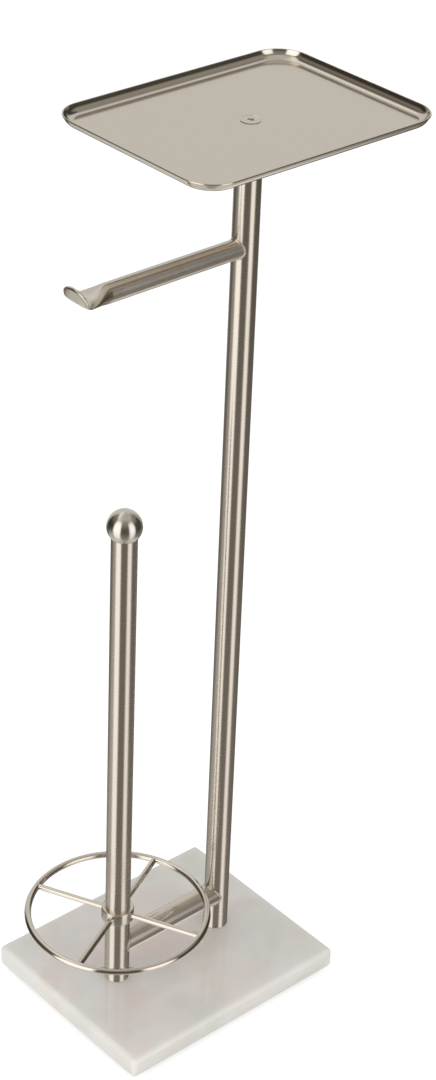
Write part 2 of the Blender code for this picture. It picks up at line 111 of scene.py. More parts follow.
# Shelf tray
TRAY_CORNER_RADIUS = 20.4 * MM
TRAY_CORNER_STEPS = 20
TRAY_SHEET = 1.2 * MM
TRAY_RIM_SHEET = 0.8 * MM
TRAY_FLOOR_FILLET = 6.5 * MM
TRAY_FILLET_STEPS = 16
TRAY_WALL_ANGLE = math.radians(64)
TRAY_BEAD_RISE = 5.35 * MM
TRAY_BEAD_RADIUS = 0.55 * MM
TRAY_BEAD_START = math.radians(-96)
TRAY_BEAD_STEPS = 16
TRAY_HOLE = 6.3 * MM
TRAY_HOLE_BORDER = 2 * MM
TRAY_FLOOR_BORDER = 1 * MM
FLANGE_CHAMFER = 0.8 * MM
FLANGE_HOLE = 3.3 * MM
FLANGE_HOLE_TOP = 4.5 * MM

# Marble base
BASE_CORNER_RADIUS = 3 * MM
BASE_CORNER_STEPS = 12
BASE_LEAST_RADIUS = 0.4 * MM
BASE_EDGE_ROUND = 3 * MM
BASE_EDGE_STEPS = 8
BASE_BORDER = 0.5 * MM
RECESS_RADIUS = 9.5 * MM
RECESS_DEPTH = 6.5 * MM
RECESS_SIDES = 64
BOLT_HOLE_RADIUS = 3.3 * MM
BOLT_HOLE_SIDES = 32
CUT_OVERRUN = 2 * MM

# Joints between welded tubes
WELD_RADIUS = 0.7 * MM
WELD_SIDES = 12
TOUCH = 0.05 * MM

# Metals
NICKEL_COLOUR = (0.80, 0.735, 0.65)
BALL_COLOUR = (0.80, 0.755, 0.69)
ZINC_COLOUR = (0.60, 0.61, 0.63)
ANISOTROPY = 0.8
ALONG_THE_AXIS = 0.25
EVEN_GRAIN = (1, 1, 1)
UPRIGHT_GRAIN = (0.05, 0.05, 1)
LEVEL_GRAIN = (1, 0.05, 0.05)
SHEET_GRAIN = (0.05, 1, 1)
GRAIN_SCALE = 2600
GRAIN_DETAIL = 3
GRAIN_RANGE = (0.3, 0.7)
ROUGHNESS_SPREAD = 0.08
BUMP_STRENGTH = 0.02
BUMP_DEPTH = 0.01 * MM

# Marble
CLOUD_SCALE = 15
CLOUD_DETAIL = 2.5
CLOUD_STRETCH = (1, 1, 1.4)
CLOUD_PLACE = (0.74, 1.22, 0.26)
CLOUDS = [(0.36, (0.82, 0.81, 0.76)), (0.46, (0.865, 0.845, 0.81)),
          (0.54, (0.88, 0.85, 0.82)), (0.64, (0.865, 0.80, 0.755))]
PATCH_SCALE = 34
PATCH_DETAIL = 3
PATCH_PLACE = (0.9, 0.1, 0)
PATCHES = [(0.36, (0.96, 0.97, 0.94)), (0.5, (1, 1, 1)), (0.64, (1, 0.965, 0.945))]

# Rubber
RUBBER_SCALE = 1500
RUBBER_DETAIL = 2
RUBBER_TONES = [(0.055, 0.055, 0.06), (0.085, 0.085, 0.09)]

# Floor and light
FLOOR_HALF = 6
FLOOR_Z = -0.2 * MM
FLOOR_TONE = (0.8, 0.8, 0.8)
FLOOR_GLOW = 0.55
SOFT_LIGHT = 0.62

# The room as mirrors see it. Each layer: middle, half width and soft edge round the room, the same up
# and down, all in degrees, and its colour. The camera stands at 0 and the right is positive.
DARK_ROOM = (0.047, 0.047, 0.041)
LAYERS = [
    ((186, 40, 18), (15, 40, 18), (0.64, 0.63, 0.61)),
    ((-104, 20, 14), (2, 26, 16), (0.034, 0.030, 0.026)),
    ((-100, 28, 20), (34, 9, 18), (0.22, 0.19, 0.15)),
    ((0, 200, 1), (90, 36, 24), (0.52, 0.52, 0.50)),
    ((0, 200, 1), (-90, 42, 16), (0.62, 0.61, 0.59)),
    ((0, 150, 20), (-37, 12, 16), (0.18, 0.16, 0.14)),
    ((-84, 20, 30), (-36, 13, 16), (0.46, 0.44, 0.41)),
    ((6, 30, 26), (-66, 22, 16), (0.33, 0.32, 0.30)),
    ((132, 18, 16), (-59, 10, 10), (0.86, 0.85, 0.82)),
    ((-130, 30, 16), (-53, 13, 10), (0.66, 0.67, 0.63)),
    ((4, 36, 22), (-34, 16, 20), (0.17, 0.15, 0.125)),
    ((4, 36, 22), (0, 20, 14), (0.08, 0.071, 0.062)),
    ((4, 60, 30), (42, 19, 20), (0.24, 0.22, 0.20)),
    ((98, 22, 22), (42, 14, 16), (0.30, 0.27, 0.225)),
    ((-112, 36, 14), (62, 8, 10), (0.90, 0.89, 0.87)),
    ((-158, 16, 14), (52, 8, 10), (0.92, 0.91, 0.88)),
    ((-47, 22, 10), (-5, 47, 20), (1.14, 1.12, 1.10)),
    ((-46, 23, 9), (16, 34, 24), (1.38, 1.36, 1.33)),
    ((52, 17, 13), (-7, 42, 20), (1.02, 1.00, 0.98)),
    ((51, 18, 12), (13, 29, 24), (1.25, 1.23, 1.20)),
]


def blend(start, end, share):
    return start + (end - start) * share


def quarter(steps):
    """Angles from 0 to a quarter turn."""
    return [math.pi / 2 * step / steps for step in range(steps + 1)]


def middle_and_size(node):
    low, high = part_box(node)
    return (low + high) / 2, high - low


def middle_of(node):
    return middle_and_size(node)[0]


def new_object(name, work, material, smooth_angle):
    """A shown piece from a bmesh, shaded smooth but for its sharp edges."""
    bmesh.ops.recalc_face_normals(work, faces=work.faces)
    mesh = bpy.data.meshes.new(name)
    work.to_mesh(mesh)
    work.free()
    mesh.shade_smooth()
    mesh.set_sharp_from_angle(angle=math.radians(smooth_angle))
    mesh.materials.append(material)
    item = bpy.data.objects.new(name, mesh)
    bpy.context.scene.collection.objects.link(item)
    return item


def dress(item, slot, *nodes):
    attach(item, "root")
    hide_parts(*nodes)


def bridge(work, low, high):
    count = len(low)
    for i in range(count):
        j = (i + 1) % count
        work.faces.new((low[i], low[j], high[j], high[i]))


def loft(name, rings, material, caps=True, smooth_angle=SMOOTH_ANGLE):
    """A closed body through rings of equally many points; without caps the last ring meets the first."""
    work = bmesh.new()
    rows = [[work.verts.new(point) for point in ring] for ring in rings]
    for low, high in zip(rows, rows[1:]):
        bridge(work, low, high)
    if caps:
        work.faces.new(rows[0])
        work.faces.new(rows[-1])
    else:
        bridge(work, rows[-1], rows[0])
    return new_object(name, work, material, smooth_angle)


def circle(radius, height, sides):
    turns = [2 * math.pi * i / sides for i in range(sides)]
    return [Vector((radius * math.cos(turn), radius * math.sin(turn), height)) for turn in turns]


def turned(name, profile, material, centre, sides=TUBE_SIDES, caps=False):
    """A body turned about a vertical line through centre, from (radius, height) points."""
    rings = [[point + centre for point in circle(radius, height, sides)] for radius, height in profile]
    return loft(name, rings, material, caps)


def rounded_rectangle(length, depth, radius, height, steps):
    points = []
    for corner in range(4):
        centre_x = (length / 2 - radius) * (1 if corner in (0, 3) else -1)
        centre_y = (depth / 2 - radius) * (1 if corner in (0, 1) else -1)
        for step in range(steps + 1):
            turn = math.pi / 2 * (corner + step / steps)
            points.append(Vector((centre_x + radius * math.cos(turn),
                                  centre_y + radius * math.sin(turn), height)))
    return points


def round_section(point, side, up, radius, sides):
    """A circle of points round a point, in the plane of side and up."""
    turns = [2 * math.pi * k / sides for k in range(sides)]
    return [point + (side * math.cos(turn) + up * math.sin(turn)) * radius for turn in turns]


def tube_along(name, path, radius, material, sides):
    """A closed loop of round wire through the points of a path."""
    rings = []
    count = len(path)
    for i, point in enumerate(path):
        ahead = (path[(i + 1) % count] - path[i - 1]).normalized()
        side = ahead.cross(Vector(UP))
        if side.length < 0.1:
            side = ahead.cross(Vector((0, 1, 0)))
        side.normalize()
        rings.append(round_section(point, side, side.cross(ahead), radius, sides))
    return loft(name, rings, material, caps=False, smooth_angle=180)


def rod(name, start, end, radius, material, sides):
    """A straight round rod between two points."""
    ahead = (end - start).normalized()
    side = ahead.cross(Vector(UP)).normalized()
    up = side.cross(ahead)
    rings = [round_section(point, side, up, radius, sides) for point in (start, end)]
    return loft(name, rings, material)


def weld(name, path):
    """A thin bead of weld along the line where two tubes meet."""
    bead = tube_along(name, path, WELD_RADIUS, nickel, WELD_SIDES)
    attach(bead, "root")


# Materials
def nodes_of(material):
    material.use_nodes = True
    tree = material.node_tree
    return tree, tree.nodes["Principled BSDF"]


def link_noise(tree, scale, detail, stretch, shift=(0, 0, 0)):
    """Noise over the object's own coordinates, in metres, moved and stretched along the axes."""
    place = tree.nodes.new("ShaderNodeTexCoord")
    mapping = tree.nodes.new("ShaderNodeMapping")
    mapping.inputs["Location"].default_value = shift
    mapping.inputs["Scale"].default_value = stretch
    noise = tree.nodes.new("ShaderNodeTexNoise")
    noise.inputs["Scale"].default_value = scale
    noise.inputs["Detail"].default_value = detail
    tree.links.new(place.outputs["Object"], mapping.inputs["Vector"])
    tree.links.new(mapping.outputs["Vector"], noise.inputs["Vector"])
    return noise


def ramp(tree, source, stops):
    node = tree.nodes.new("ShaderNodeValToRGB")
    elements = node.color_ramp.elements
    while len(elements) < len(stops):
        elements.new(0.5)
    for element, (position, colour) in zip(elements, stops):
        element.position = position
        element.color = (*colour, 1)
    tree.links.new(source, node.inputs["Fac"])
    return node


def spread(tree, source, low, high):
    """Maps a noise value to a range."""
    node = tree.nodes.new("ShaderNodeMapRange")
    node.inputs["From Min"].default_value, node.inputs["From Max"].default_value = GRAIN_RANGE
    node.inputs["To Min"].default_value = low
    node.inputs["To Max"].default_value = high
    tree.links.new(source, node.inputs["Value"])
    return node.outputs["Result"]


def round_axis(tree, axis, centre):
    """The direction round an axis through centre, for metal that was brushed while it turned."""
    place = tree.nodes.new("ShaderNodeTexCoord")
    away = tree.nodes.new("ShaderNodeVectorMath")
    away.operation = "SUBTRACT"
    away.inputs[1].default_value = centre
    across = tree.nodes.new("ShaderNodeVectorMath")
    across.operation = "CROSS_PRODUCT"
    across.inputs[0].default_value = axis
    level = tree.nodes.new("ShaderNodeVectorMath")
    level.operation = "NORMALIZE"
    tree.links.new(place.outputs["Object"], away.inputs[0])
    tree.links.new(away.outputs["Vector"], across.inputs[1])
    tree.links.new(across.outputs["Vector"], level.inputs[0])
    return level.outputs["Vector"]


def metal_material(name, colour, roughness, stretch, contrast=0.02, axis=None, centre=(0, 0, 0)):
    """Satin metal with fine grain. A piece with an axis was brushed round it."""
    material = bpy.data.materials.new(name)
    tree, shader = nodes_of(material)
    shader.inputs["Metallic"].default_value = 1
    if axis:
        shader.inputs["Anisotropic"].default_value = ANISOTROPY
        shader.inputs["Anisotropic Rotation"].default_value = ALONG_THE_AXIS
        tree.links.new(round_axis(tree, axis, centre), shader.inputs["Tangent"])
    grain = link_noise(tree, GRAIN_SCALE, GRAIN_DETAIL, stretch)
    tones = [[channel * tone for channel in colour] for tone in (1 - contrast, 1 + contrast)]
    tint = ramp(tree, grain.outputs["Fac"], list(zip(GRAIN_RANGE, tones)))
    tree.links.new(tint.outputs["Color"], shader.inputs["Base Color"])
    rough = spread(tree, grain.outputs["Fac"],
                   roughness * (1 - ROUGHNESS_SPREAD), roughness * (1 + ROUGHNESS_SPREAD))
    tree.links.new(rough, shader.inputs["Roughness"])
    bump = tree.nodes.new("ShaderNodeBump")
    bump.inputs["Strength"].default_value = BUMP_STRENGTH
    bump.inputs["Distance"].default_value = BUMP_DEPTH
    tree.links.new(grain.outputs["Fac"], bump.inputs["Height"])
    tree.links.new(bump.outputs["Normal"], shader.inputs["Normal"])
    return material


def colour_sockets(sockets):
    return [socket for socket in sockets if socket.type == "RGBA"]


def marble_material():
    """Pale polished marble: soft clouds of warm grey, beige and green-grey, lit through at its edges."""
    material = bpy.data.materials.new("polished_marble")
    tree, shader = nodes_of(material)
    shader.inputs["Roughness"].default_value = 0.09
    shader.inputs["IOR"].default_value = 1.55
    shader.inputs["Subsurface Weight"].default_value = 0.6
    shader.inputs["Subsurface Radius"].default_value = (1.0, 0.9, 0.8)
    shader.inputs["Subsurface Scale"].default_value = 11 * MM
    clouds = link_noise(tree, CLOUD_SCALE, CLOUD_DETAIL, CLOUD_STRETCH, CLOUD_PLACE)
    clouds.inputs["Distortion"].default_value = 0.5
    body = ramp(tree, clouds.outputs["Fac"], CLOUDS)
    tint = link_noise(tree, PATCH_SCALE, PATCH_DETAIL, EVEN_GRAIN, PATCH_PLACE)
    patches = ramp(tree, tint.outputs["Fac"], PATCHES)
    mix = tree.nodes.new("ShaderNodeMix")
    mix.data_type = "RGBA"
    mix.blend_type = "MULTIPLY"
    mix.inputs["Factor"].default_value = 1
    first, second = colour_sockets(mix.inputs)
    tree.links.new(body.outputs["Color"], first)
    tree.links.new(patches.outputs["Color"], second)
    tree.links.new(colour_sockets(mix.outputs)[0], shader.inputs["Base Color"])
    return material


def rubber_material():
    material = bpy.data.materials.new("non_slip_rubber")
    tree, shader = nodes_of(material)
    grain = link_noise(tree, RUBBER_SCALE, RUBBER_DETAIL, EVEN_GRAIN)
    tint = ramp(tree, grain.outputs["Fac"], list(zip(GRAIN_RANGE, RUBBER_TONES)))
    tree.links.new(tint.outputs["Color"], shader.inputs["Base Color"])
    shader.inputs["Roughness"].default_value = 0.85
    return material


nickel = metal_material("satin_nickel_wire", NICKEL_COLOUR, 0.10, EVEN_GRAIN)
nickel_pole = metal_material("satin_nickel_pole", NICKEL_COLOUR, 0.26, UPRIGHT_GRAIN,
                             axis=UP, centre=middle_of("main_pole"))
nickel_post = metal_material("satin_nickel_post", NICKEL_COLOUR, 0.26, UPRIGHT_GRAIN,
                             axis=UP, centre=middle_of("storage_post"))
nickel_ball = metal_material("satin_nickel_ball", BALL_COLOUR, 0.24, UPRIGHT_GRAIN,
                             axis=UP, centre=middle_of("storage_post"))
nickel_crossbar = metal_material("satin_nickel_crossbar", NICKEL_COLOUR, 0.15, LEVEL_GRAIN,
                                 axis=ALONG, centre=middle_of("crossbar"))
nickel_arm = metal_material("satin_nickel_arm", NICKEL_COLOUR, 0.22, LEVEL_GRAIN,
                            axis=ALONG, centre=middle_of("arm_stud"))
nickel_sheet = metal_material("satin_nickel_sheet", NICKEL_COLOUR, 0.13, SHEET_GRAIN)
zinc = metal_material("zinc_plate", ZINC_COLOUR, 0.35, EVEN_GRAIN, contrast=0.12)
marble = marble_material()
rubber = rubber_material()

# CAD nodes that keep their shape
FOOT_HARDWARE = ("pole_foot_washer", "pole_foot_bolt", "pole_foot_insert",
                 "post_foot_washer", "post_foot_bolt", "post_foot_insert")
OTHER_HARDWARE = ("pole_arm_anchor", "pole_top_insert", "post_top_insert",
                  "finial_stud", "arm_insert", "arm_stud")
for node in FOOT_HARDWARE + OTHER_HARDWARE:
    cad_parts[node].data.materials[0] = zinc
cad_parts["base_pad"].data.materials[0] = rubber
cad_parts["tray_screw"].data.materials[0] = nickel

# The tubes mirror the room down to their feet, so the slab and what is in it stay out of mirrors
for node in ("base_pad", *FOOT_HARDWARE):
    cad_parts[node].visible_glossy = False


# Pieces
def upright(name, node, material):
    """An upright tube; gives the foot of its axis and its radius."""
    middle, size = middle_and_size(node)
    radius = size.x / 2
    low = middle.z - size.z / 2
    high = middle.z + size.z / 2
    bore = radius - TUBE_WALL
    profile = [(bore, low), (radius - TUBE_EDGE, low), (radius, low + TUBE_EDGE),
               (radius, high - TUBE_EDGE), (radius - TUBE_EDGE, high), (bore, high)]
    foot = Vector((middle.x, middle.y, 0))
    dress(turned(name, profile, material, foot), "brushed_nickel", node)
    return foot, radius


pole_centre, tube_radius = upright("pole", "main_pole", nickel_pole)
post_centre, _ = upright("post", "storage_post", nickel_post)


def make_ball():
    middle, size = middle_and_size("finial_ball")
    radius = size.x / 2
    seat = middle.z - size.z / 2
    centre = middle.z + size.z / 2 - radius - BALL_SINK
    foot = math.acos((centre - seat) / radius)
    turns = [blend(foot, math.pi - BALL_TOP_GAP, step / BALL_STEPS) for step in range(BALL_STEPS + 1)]
    profile = [(radius * math.sin(turn), centre - radius * math.cos(turn)) for turn in turns]
    item = turned("ball", profile, nickel_ball, Vector((middle.x, middle.y, 0)), BALL_SIDES, caps=True)
    dress(item, "brushed_nickel", "finial_ball")


make_ball()


def make_ring():
    """The wire ring; gives its middle, its radius and its wire's radius."""
    middle, size = middle_and_size("guard_ring")
    wire = size.z / 2
    radius = size.x / 2 - wire
    path = [middle + point for point in circle(radius, 0, RING_POINTS)]
    dress(tube_along("ring", path, wire, nickel, RING_WIRE_SIDES), "brushed_nickel", "guard_ring")
    return middle, radius, wire


ring_middle, ring_radius, ring_wire = make_ring()


def make_hub():
    """The sleeve round the post that carries the spokes; gives its radius."""
    middle, size = middle_and_size("ring_hub")
    radius = size.x / 2
    half = size.z / 2
    core = radius - HUB_CHAMFER
    bore = tube_radius + TOUCH
    profile = [(bore, -half)]
    profile += [(core + HUB_CHAMFER * math.sin(turn), -half + HUB_CHAMFER - HUB_CHAMFER * math.cos(turn))
                for turn in quarter(HUB_CHAMFER_STEPS)]
    profile += [(core + HUB_CHAMFER * math.cos(turn), half - HUB_CHAMFER + HUB_CHAMFER * math.sin(turn))
                for turn in quarter(HUB_CHAMFER_STEPS)]
    profile.append((bore, half))
    dress(turned("hub", profile, nickel_post, middle), "brushed_nickel", "ring_hub")
    return radius


hub_radius = make_hub()


def make_spokes():
    for number in range(1, SPOKE_COUNT + 1):
        node = f"ring_spoke_{number}"
        middle, size = middle_and_size(node)
        out = middle - ring_middle
        out.z = 0
        out.normalize()
        start = ring_middle + out * (hub_radius - SPOKE_SINK_IN_HUB)
        end = ring_middle + out * (ring_radius - ring_wire * SPOKE_SINK_IN_WIRE)
        item = rod(f"spoke_{number}", start, end, size.z / 2, nickel, SPOKE_SIDES)
        dress(item, "brushed_nickel", node)


make_spokes()


def saddle_reach(across, radius):
    """How far from an upright tube's axis its wall is, at a distance across it."""
    return math.sqrt(max(radius * radius - across * across, 0))


def make_crossbar():
    middle, size = middle_and_size("crossbar")
    radius = size.z / 2
    left, right = [], []
    for k in range(CROSSBAR_SIDES):
        turn = 2 * math.pi * k / CROSSBAR_SIDES
        y, z = radius * math.cos(turn), radius * math.sin(turn)
        reach = saddle_reach(y, tube_radius + TOUCH)
        left.append(Vector((post_centre.x + reach, y, middle.z + z)))
        right.append(Vector((pole_centre.x - reach, y, middle.z + z)))
    rings = [[low.lerp(high, step / CROSSBAR_STEPS) for low, high in zip(left, right)]
             for step in range(CROSSBAR_STEPS + 1)]
    dress(loft("cross_tube", rings, nickel_crossbar), "brushed_nickel", "crossbar")
    weld("crossbar_weld_post", left)
    weld("crossbar_weld_pole", right)


make_crossbar()


def arm_ring(axis, reach, rise, turn, half_width, half_thickness, roundness):
    """A section of the arm: reach and rise of its middle, its turn upwards, and a super-ellipse."""
    points = []
    for i in range(ARM_SIDES):
        angle = 2 * math.pi * (i + 0.5) / ARM_SIDES
        across = math.copysign(abs(math.cos(angle)) ** (2 / roundness), math.cos(angle)) * half_width
        up = math.copysign(abs(math.sin(angle)) ** (2 / roundness), math.sin(angle)) * half_thickness
        points.append(Vector((axis.x - reach + up * math.sin(turn), across,
                              axis.z + rise + up * math.cos(turn))))
    return points


def make_arm():
    """Round tube, pressed flat about its own axis, bent up and rounded off."""
    axis = Vector((pole_centre.x, 0, middle_of("pole_arm_anchor").z))
    flat_half = TIP_THICKNESS / 2
    press_start = ARM_BEND_REACH - ARM_PRESS_LENGTH
    root = arm_ring(axis, 0, 0, 0, ARM_RADIUS, ARM_RADIUS, TUBE_ROUNDNESS)
    for point in root:
        point.x = pole_centre.x - saddle_reach(point.y, tube_radius + TOUCH)
    rings = [root]
    for step in range(1, ARM_STRAIGHT_STEPS):
        reach = blend(tube_radius, press_start, step / ARM_STRAIGHT_STEPS)
        rings.append(arm_ring(axis, reach, 0, 0, ARM_RADIUS, ARM_RADIUS, TUBE_ROUNDNESS))
    for step in range(ARM_PRESS_STEPS + 1):
        share = step / ARM_PRESS_STEPS
        ease = share * share * (3 - 2 * share)
        rings.append(arm_ring(axis, blend(press_start, ARM_BEND_REACH, share), 0, 0,
                              blend(ARM_RADIUS, TIP_WIDTH / 2, ease), blend(ARM_RADIUS, flat_half, ease),
                              blend(TUBE_ROUNDNESS, TIP_ROUNDNESS, ease)))
    for step in range(1, ARM_BEND_STEPS + 1):
        turn = TIP_ANGLE * step / ARM_BEND_STEPS
        rings.append(arm_ring(axis, ARM_BEND_REACH + TIP_BEND_RADIUS * math.sin(turn),
                              TIP_BEND_RADIUS * (1 - math.cos(turn)), turn,
                              TIP_WIDTH / 2, flat_half, TIP_ROUNDNESS))
    bend_end = ARM_BEND_REACH + TIP_BEND_RADIUS * math.sin(TIP_ANGLE)
    bend_top = TIP_BEND_RADIUS * (1 - math.cos(TIP_ANGLE))
    for step in range(1, TIP_STEPS + 1):
        share = math.sin(math.pi / 2 * step / TIP_STEPS)
        width_share = max(1 - share ** TIP_OUTLINE_ROUNDNESS, 0) ** 0.5
        half_width = max(TIP_WIDTH / 2 * width_share, TIP_END_HALF_WIDTH)
        thin = min(TIP_LENGTH * (1 - share) / TIP_EDGE_ROUND, 1)
        half_thickness = flat_half * max(math.sqrt(1 - (1 - thin) ** 2), TIP_END_THINNEST)
        rings.append(arm_ring(axis, bend_end + TIP_LENGTH * share * math.cos(TIP_ANGLE),
                              bend_top + TIP_LENGTH * share * math.sin(TIP_ANGLE),
                              TIP_ANGLE, half_width, half_thickness, TIP_ROUNDNESS))
    item = loft("arm", rings, nickel_arm, smooth_angle=60)
    item.data.materials.append(nickel_sheet)
    for face in item.data.polygons:
        face.material_index = int(face.center.x < pole_centre.x - ARM_BEND_REACH)
    dress(item, "brushed_nickel", "roll_arm")
    weld("arm_weld", root)


make_arm()


def tray_sheet():
    """The sheet's section, (run, rise) from the floor's edge: underside, bead, top side; and its run."""
    under, top = [], []
    for step in range(TRAY_FILLET_STEPS + 1):
        share = step / TRAY_FILLET_STEPS
        slope = TRAY_WALL_ANGLE * share
        run, rise = TRAY_FLOOR_FILLET * math.sin(slope), TRAY_FLOOR_FILLET * (1 - math.cos(slope))
        half = blend(TRAY_SHEET, TRAY_RIM_SHEET, share) / 2
        under.append((run + half * math.sin(slope), rise - half * math.cos(slope)))
        top.append((run - half * math.sin(slope), rise + half * math.cos(slope)))
    inner_run, inner_rise = top[-1]
    bead_run = inner_run + (TRAY_BEAD_RISE - inner_rise) / math.tan(TRAY_WALL_ANGLE) + TRAY_BEAD_RADIUS
    bead = []
    for step in range(TRAY_BEAD_STEPS + 1):
        turn = blend(TRAY_BEAD_START, math.pi, step / TRAY_BEAD_STEPS)
        bead.append((bead_run + TRAY_BEAD_RADIUS * math.cos(turn),
                     TRAY_BEAD_RISE + TRAY_BEAD_RADIUS * math.sin(turn)))
    return under, bead, top, bead_run + TRAY_BEAD_RADIUS


def make_tray():
    low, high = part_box("shelf_tray")
    middle = (low + high) / 2
    size = high - low
    half = TRAY_SHEET / 2
    floor_mid = high.z - TRAY_BEAD_RADIUS - TRAY_BEAD_RISE
    under, bead, top, total = tray_sheet()
    count = 4 * (TRAY_CORNER_STEPS + 1)
    under_hole = TRAY_HOLE - TRAY_SHEET

    def ring_at(run, rise):
        inset = total - run
        outline = rounded_rectangle(size.x - 2 * inset, size.y - 2 * inset, TRAY_CORNER_RADIUS - inset,
                                    floor_mid + rise, TRAY_CORNER_STEPS)
        return [point + Vector((middle.x, middle.y, 0)) for point in outline]

    def round_at(radius, rise):
        turns = [2 * math.pi * (i + 0.5) / count for i in range(count)]
        return [Vector((pole_centre.x + radius * math.cos(turn), pole_centre.y + radius * math.sin(turn),
                        floor_mid + rise)) for turn in turns]

    rings = [round_at(under_hole, -half), round_at(under_hole + TRAY_HOLE_BORDER, -half),
             ring_at(-TRAY_FLOOR_BORDER, -half)]
    rings += [ring_at(run, rise) for run, rise in under + bead + list(reversed(top))]
    rings += [ring_at(-TRAY_FLOOR_BORDER, half), round_at(TRAY_HOLE + TRAY_HOLE_BORDER, half),
              round_at(TRAY_HOLE, half)]
    item = loft("tray", rings, nickel_sheet, caps=False, smooth_angle=50)
    dress(item, "brushed_nickel", "shelf_tray")


make_tray()


def make_flange():
    middle, size = middle_and_size("tray_flange")
    radius = size.x / 2
    low, high = -size.z / 2, size.z / 2
    profile = [(FLANGE_HOLE, low), (radius - FLANGE_CHAMFER, low), (radius, low + FLANGE_CHAMFER),
               (radius, high - FLANGE_CHAMFER), (radius - FLANGE_CHAMFER, high), (FLANGE_HOLE_TOP, high)]
    dress(turned("flange", profile, nickel_pole, middle), "brushed_nickel", "tray_flange")


make_flange()


def flatten_caps(mesh, low, high):
    """The cut top and bottom faces are shaded flat, so that their long triangles don't show."""
    for face in mesh.polygons:
        level = abs(face.normal.z) > 0.9999
        at_cap = min(abs(face.center.z - low), abs(face.center.z - high)) < 0.01 * MM
        face.use_smooth = not (level and at_cap)
    mesh.set_sharp_from_angle(angle=math.radians(SMOOTH_ANGLE))


def make_slab():
    middle, size = middle_and_size("base_slab")
    low = middle.z - size.z / 2
    high = middle.z + size.z / 2
    edge = BASE_EDGE_ROUND
    rings = [(edge + BASE_BORDER, low)]
    turns = quarter(BASE_EDGE_STEPS)
    rings += [(edge * (1 - math.sin(turn)), low + edge * (1 - math.cos(turn))) for turn in turns]
    rings += [(edge * (1 - math.cos(turn)), high - edge * (1 - math.sin(turn))) for turn in turns]
    rings.append((edge + BASE_BORDER, high))
    rows = []
    for inset, height in rings:
        radius = max(BASE_CORNER_RADIUS - inset, BASE_LEAST_RADIUS)
        rows.append(rounded_rectangle(size.x - 2 * inset, size.y - 2 * inset, radius, height,
                                      BASE_CORNER_STEPS))
    item = loft("slab", rows, marble)
    recess = [(RECESS_RADIUS, low - CUT_OVERRUN), (RECESS_RADIUS, low + RECESS_DEPTH)]
    hole = [(BOLT_HOLE_RADIUS, low), (BOLT_HOLE_RADIUS, high + CUT_OVERRUN)]
    cutters = []
    for centre in (pole_centre, post_centre):
        cutters.append(turned("recess_guide", recess, marble, centre, RECESS_SIDES, caps=True))
        cutters.append(turned("hole_guide", hole, marble, centre, BOLT_HOLE_SIDES, caps=True))
    bpy.context.view_layer.update()
    for cutter in cutters:
        modifier = item.modifiers.new("cut", "BOOLEAN")
        modifier.operation = "DIFFERENCE"
        modifier.solver = "EXACT"
        modifier.object = cutter
    graph = bpy.context.evaluated_depsgraph_get()
    mesh = bpy.data.meshes.new_from_object(item.evaluated_get(graph))
    item.modifiers.clear()
    item.data = mesh
    flatten_caps(mesh, low, high)
    for cutter in cutters:
        bpy.data.objects.remove(cutter, do_unlink=True)
    item.visible_glossy = False
    dress(item, "marble", "base_slab")


make_slab()


def make_camera():
    pan_cos, pan_sin = math.cos(CAMERA_PAN), math.sin(CAMERA_PAN)
    tilt_cos, tilt_sin = math.cos(CAMERA_TILT), math.sin(CAMERA_TILT)
    forward = Vector((tilt_cos * pan_cos, tilt_cos * pan_sin, tilt_sin))
    level_right = forward.cross(Vector(UP)).normalized()
    level_up = level_right.cross(forward)
    right = level_right * math.cos(CAMERA_ROLL) + level_up * math.sin(CAMERA_ROLL)
    up = level_up * math.cos(CAMERA_ROLL) - level_right * math.sin(CAMERA_ROLL)
    data = bpy.data.cameras.new("camera")
    data.sensor_width = SENSOR
    data.lens = FOCAL_PIXELS / PHOTO_HEIGHT * SENSOR
    data.shift_x, data.shift_y = SHIFT
    camera = bpy.data.objects.new("camera", data)
    turn = Matrix((right, up, -forward)).transposed().to_4x4()
    camera.matrix_world = Matrix.Translation(CAMERA_PLACE) @ turn
    bpy.context.scene.collection.objects.link(camera)
    bpy.context.scene.camera = camera


make_camera()


def floor_paint():
    """Pale, with the object's soft shadow; mirrors look through it at the studio round the object."""
    material = bpy.data.materials.new("floor")
    tree, shader = nodes_of(material)
    shader.inputs["Base Color"].default_value = (*FLOOR_TONE, 1)
    shader.inputs["Roughness"].default_value = 1
    shader.inputs["Specular IOR Level"].default_value = 0
    glow = tree.nodes.new("ShaderNodeEmission")
    glow.inputs["Strength"].default_value = FLOOR_GLOW
    together = tree.nodes.new("ShaderNodeAddShader")
    rays = tree.nodes.new("ShaderNodeLightPath")
    seen = tree.nodes.new("ShaderNodeMixShader")
    clear = tree.nodes.new("ShaderNodeBsdfTransparent")
    mirrored = tree.nodes.new("ShaderNodeMixShader")
    output = tree.nodes["Material Output"]
    link = tree.links.new
    link(shader.outputs["BSDF"], together.inputs[0])
    link(glow.outputs["Emission"], together.inputs[1])
    link(rays.outputs["Is Camera Ray"], seen.inputs["Fac"])
    link(shader.outputs["BSDF"], seen.inputs[1])
    link(together.outputs["Shader"], seen.inputs[2])
    link(rays.outputs["Is Glossy Ray"], mirrored.inputs["Fac"])
    link(seen.outputs["Shader"], mirrored.inputs[1])
    link(clear.outputs["BSDF"], mirrored.inputs[2])
    link(mirrored.outputs["Shader"], output.inputs["Surface"])
    return material


def make_floor():
    work = bmesh.new()
    work.faces.new([work.verts.new((x * FLOOR_HALF, y * FLOOR_HALF, FLOOR_Z))
                    for x, y in ((-1, -1), (1, -1), (1, 1), (-1, 1))])
    floor = new_object("floor", work, floor_paint(), SMOOTH_ANGLE)


make_floor()


